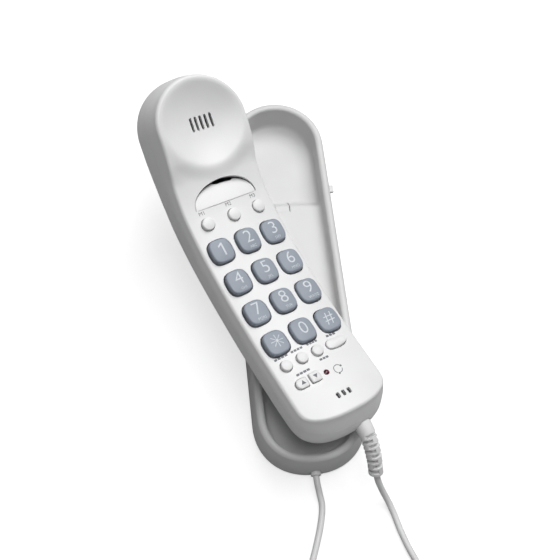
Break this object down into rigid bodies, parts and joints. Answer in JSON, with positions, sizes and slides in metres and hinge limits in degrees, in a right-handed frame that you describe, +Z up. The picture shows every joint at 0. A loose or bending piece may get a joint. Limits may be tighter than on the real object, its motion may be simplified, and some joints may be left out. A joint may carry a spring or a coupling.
{
  "type": "corded telephone",
  "caption": "Slimline corded telephone: a curved keypad handset lying face up across its long wall cradle, with a curly handset cord.",
  "frame": {"origin": "centre of the bottom of the box round the cradle and the handset, on the surface the cradle's feet stand on", "axes": "+Y along the cradle towards its ear end, +Z up out of the cradle, +X to the right seen from above with the ear end far"},
  "size_m": [0.1428, 0.4125, 0.1003],
  "materials": {
    "handset_plastic": "satin",
    "cradle_plastic": "satin",
    "number_keys": "matte",
    "small_keys": "satin",
    "lamp": "gloss",
    "rubber": "matte",
    "silicone": "matte",
    "steel": "satin",
    "board": "satin",
    "black_plastic": "satin",
    "cord": "satin"
  },
  "bodies": {
    "cradle": {"cradle_back_plate": "cradle_plastic", "cradle_circuit_board": "board", "cradle_cord_tail": "cord", "cradle_shell": "cradle_plastic", "foot_grommet": "cradle_plastic", "handset_cord_curl": "cord", "handset_cord_tail": "cord", "hook_microswitch": "black_plastic", "line_cord_grommet": "rubber", "plate_screw_1": "steel", "plate_screw_2": "steel", "plate_screw_3": "steel", "plate_screw_4": "steel", "ringer_disc": "steel", "rubber_foot_1": "rubber", "rubber_foot_2": "rubber", "rubber_foot_3": "rubber", "rubber_foot_4": "rubber", "wall_hang_tab": "cradle_plastic"},
    "handset": {"handset_front_shell": "handset_plastic", "handset_back_shell": "handset_plastic", "handset_strain_relief": "cord", "hang_slot_ramp": "handset_plastic", "receiver_capsule": "black_plastic", "receiver_gasket": "rubber", "microphone_capsule": "steel", "microphone_boot": "rubber", "keypad_mat": "silicone", "handset_circuit_board": "board", "ballast_bar": "steel", "in_use_lamp": "lamp"},
    "key_1_body": {"key_1": "number_keys"},
    "key_2_body": {"key_2": "number_keys"},
    "key_3_body": {"key_3": "number_keys"},
    "key_4_body": {"key_4": "number_keys"},
    "key_5_body": {"key_5": "number_keys"},
    "key_6_body": {"key_6": "number_keys"},
    "key_7_body": {"key_7": "number_keys"},
    "key_8_body": {"key_8": "number_keys"},
    "key_9_body": {"key_9": "number_keys"},
    "key_star_body": {"key_star": "number_keys"},
    "key_0_body": {"key_0": "number_keys"},
    "key_hash_body": {"key_hash": "number_keys"},
    "memory_key_1_body": {"memory_key_1": "small_keys"},
    "memory_key_2_body": {"memory_key_2": "small_keys"},
    "memory_key_3_body": {"memory_key_3": "small_keys"},
    "function_key_1_body": {"function_key_1": "small_keys"},
    "function_key_2_body": {"function_key_2": "small_keys"},
    "function_key_3_body": {"function_key_3": "small_keys"},
    "recall_key_body": {"recall_key": "small_keys"},
    "volume_up_key_body": {"volume_up_key": "small_keys"},
    "volume_down_key_body": {"volume_down_key": "small_keys"},
    "hook_plunger_body": {"hook_switch_plunger": "handset_plastic"},
    "ringer_knob_body": {"ringer_switch_knob": "handset_plastic"}
  },
  "joints": [
    {"name": "handset_lift", "type": "slide", "parent": "cradle", "child": "handset", "axis": [0, 0, 1], "range_m": [0, 0.12]},
    {"name": "key_1_press", "type": "slide", "parent": "handset", "child": "key_1_body", "axis": [-0.2753, 0.0493, -0.9601], "range_m": [0, 0.0012], "stiffness_N_per_m": 400},
    {"name": "key_2_press", "type": "slide", "parent": "handset", "child": "key_2_body", "axis": [-0.2753, 0.0493, -0.9601], "range_m": [0, 0.0012], "stiffness_N_per_m": 400},
    {"name": "key_3_press", "type": "slide", "parent": "handset", "child": "key_3_body", "axis": [-0.2753, 0.0493, -0.9601], "range_m": [0, 0.0012], "stiffness_N_per_m": 400},
    {"name": "key_4_press", "type": "slide", "parent": "handset", "child": "key_4_body", "axis": [-0.2476, -0.0172, -0.9687], "range_m": [0, 0.0012], "stiffness_N_per_m": 400},
    {"name": "key_5_press", "type": "slide", "parent": "handset", "child": "key_5_body", "axis": [-0.2476, -0.0172, -0.9687], "range_m": [0, 0.0012], "stiffness_N_per_m": 400},
    {"name": "key_6_press", "type": "slide", "parent": "handset", "child": "key_6_body", "axis": [-0.2476, -0.0172, -0.9687], "range_m": [0, 0.0012], "stiffness_N_per_m": 400},
    {"name": "key_7_press", "type": "slide", "parent": "handset", "child": "key_7_body", "axis": [-0.2235, -0.0725, -0.972], "range_m": [0, 0.0012], "stiffness_N_per_m": 400},
    {"name": "key_8_press", "type": "slide", "parent": "handset", "child": "key_8_body", "axis": [-0.2235, -0.0725, -0.972], "range_m": [0, 0.0012], "stiffness_N_per_m": 400},
    {"name": "key_9_press", "type": "slide", "parent": "handset", "child": "key_9_body", "axis": [-0.2235, -0.0725, -0.972], "range_m": [0, 0.0012], "stiffness_N_per_m": 400},
    {"name": "key_star_press", "type": "slide", "parent": "handset", "child": "key_star_body", "axis": [-0.2029, -0.1181, -0.972], "range_m": [0, 0.0012], "stiffness_N_per_m": 400},
    {"name": "key_0_press", "type": "slide", "parent": "handset", "child": "key_0_body", "axis": [-0.2029, -0.1181, -0.972], "range_m": [0, 0.0012], "stiffness_N_per_m": 400},
    {"name": "key_hash_press", "type": "slide", "parent": "handset", "child": "key_hash_body", "axis": [-0.2029, -0.1181, -0.972], "range_m": [0, 0.0012], "stiffness_N_per_m": 400},
    {"name": "memory_key_1_press", "type": "slide", "parent": "handset", "child": "memory_key_1_body", "axis": [-0.3104, 0.1385, -0.9405], "range_m": [0, 0.0012], "stiffness_N_per_m": 400},
    {"name": "memory_key_2_press", "type": "slide", "parent": "handset", "child": "memory_key_2_body", "axis": [-0.3104, 0.1385, -0.9405], "range_m": [0, 0.0012], "stiffness_N_per_m": 400},
    {"name": "memory_key_3_press", "type": "slide", "parent": "handset", "child": "memory_key_3_body", "axis": [-0.3104, 0.1385, -0.9405], "range_m": [0, 0.0012], "stiffness_N_per_m": 400},
    {"name": "function_key_1_press", "type": "slide", "parent": "handset", "child": "function_key_1_body", "axis": [-0.1943, -0.1367, -0.9714], "range_m": [0, 0.0012], "stiffness_N_per_m": 400},
    {"name": "function_key_2_press", "type": "slide", "parent": "handset", "child": "function_key_2_body", "axis": [-0.1943, -0.1367, -0.9714], "range_m": [0, 0.0012], "stiffness_N_per_m": 400},
    {"name": "function_key_3_press", "type": "slide", "parent": "handset", "child": "function_key_3_body", "axis": [-0.1943, -0.1367, -0.9714], "range_m": [0, 0.0012], "stiffness_N_per_m": 400},
    {"name": "recall_key_press", "type": "slide", "parent": "handset", "child": "recall_key_body", "axis": [-0.1943, -0.1367, -0.9714], "range_m": [0, 0.0012], "stiffness_N_per_m": 400},
    {"name": "volume_up_key_press", "type": "slide", "parent": "handset", "child": "volume_up_key_body", "axis": [-0.187, -0.1524, -0.9705], "range_m": [0, 0.0012], "stiffness_N_per_m": 400},
    {"name": "volume_down_key_press", "type": "slide", "parent": "handset", "child": "volume_down_key_body", "axis": [-0.187, -0.1524, -0.9705], "range_m": [0, 0.0012], "stiffness_N_per_m": 400},
    {"name": "hook_switch_press", "type": "slide", "parent": "cradle", "child": "hook_plunger_body", "axis": [0, 0, -1], "range_m": [0, 0.002], "stiffness_N_per_m": 200},
    {"name": "ringer_switch_slide", "type": "slide", "parent": "cradle", "child": "ringer_knob_body", "axis": [0, 1, 0], "range_m": [-0.003, 0.003]}
  ]
}
